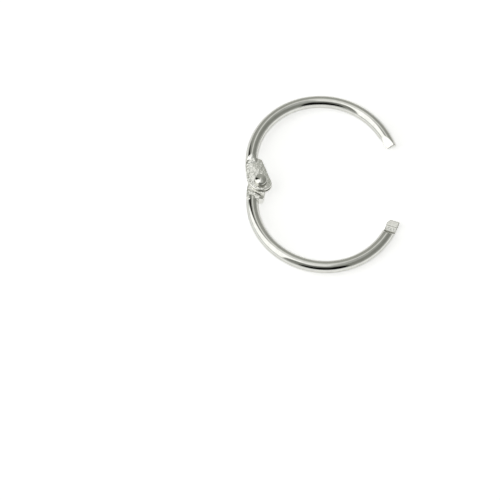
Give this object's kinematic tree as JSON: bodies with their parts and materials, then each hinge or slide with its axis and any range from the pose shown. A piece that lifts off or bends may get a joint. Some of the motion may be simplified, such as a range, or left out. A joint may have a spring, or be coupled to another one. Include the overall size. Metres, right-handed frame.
{
  "type": "binder ring",
  "caption": "Hinged loose-leaf binder ring of round nickel-plated wire: two half rings turn on a riveted hinge and shut with a lapped latch, stored partly open.",
  "frame": {"origin": "middle of the bounding box of the ring as stored, at the lowest point of the rivet's lower head", "axes": "+X from the hinge towards the open latch, +Y towards the forked half, +Z along the rivet, square to the ring's plane"},
  "size_m": [0.03, 0.039, 0.0038],
  "materials": {
    "plated_wire": "bright nickel plate over steel wire",
    "plated_rivet": "bright nickel plate over a steel rivet"
  },
  "bodies": {
    "forked_body": {"forked_half": "plated_wire", "hinge_rivet": "plated_rivet"},
    "tongued_body": {"tongued_half": "plated_wire"}
  },
  "joints": [
    {"name": "ring_hinge", "type": "hinge", "parent": "forked_body", "child": "tongued_body", "pos_m": [-0.01203, -0.00028, 0.00191], "axis": [0, 0, 1], "range_deg": [-55, 40]}
  ]
}
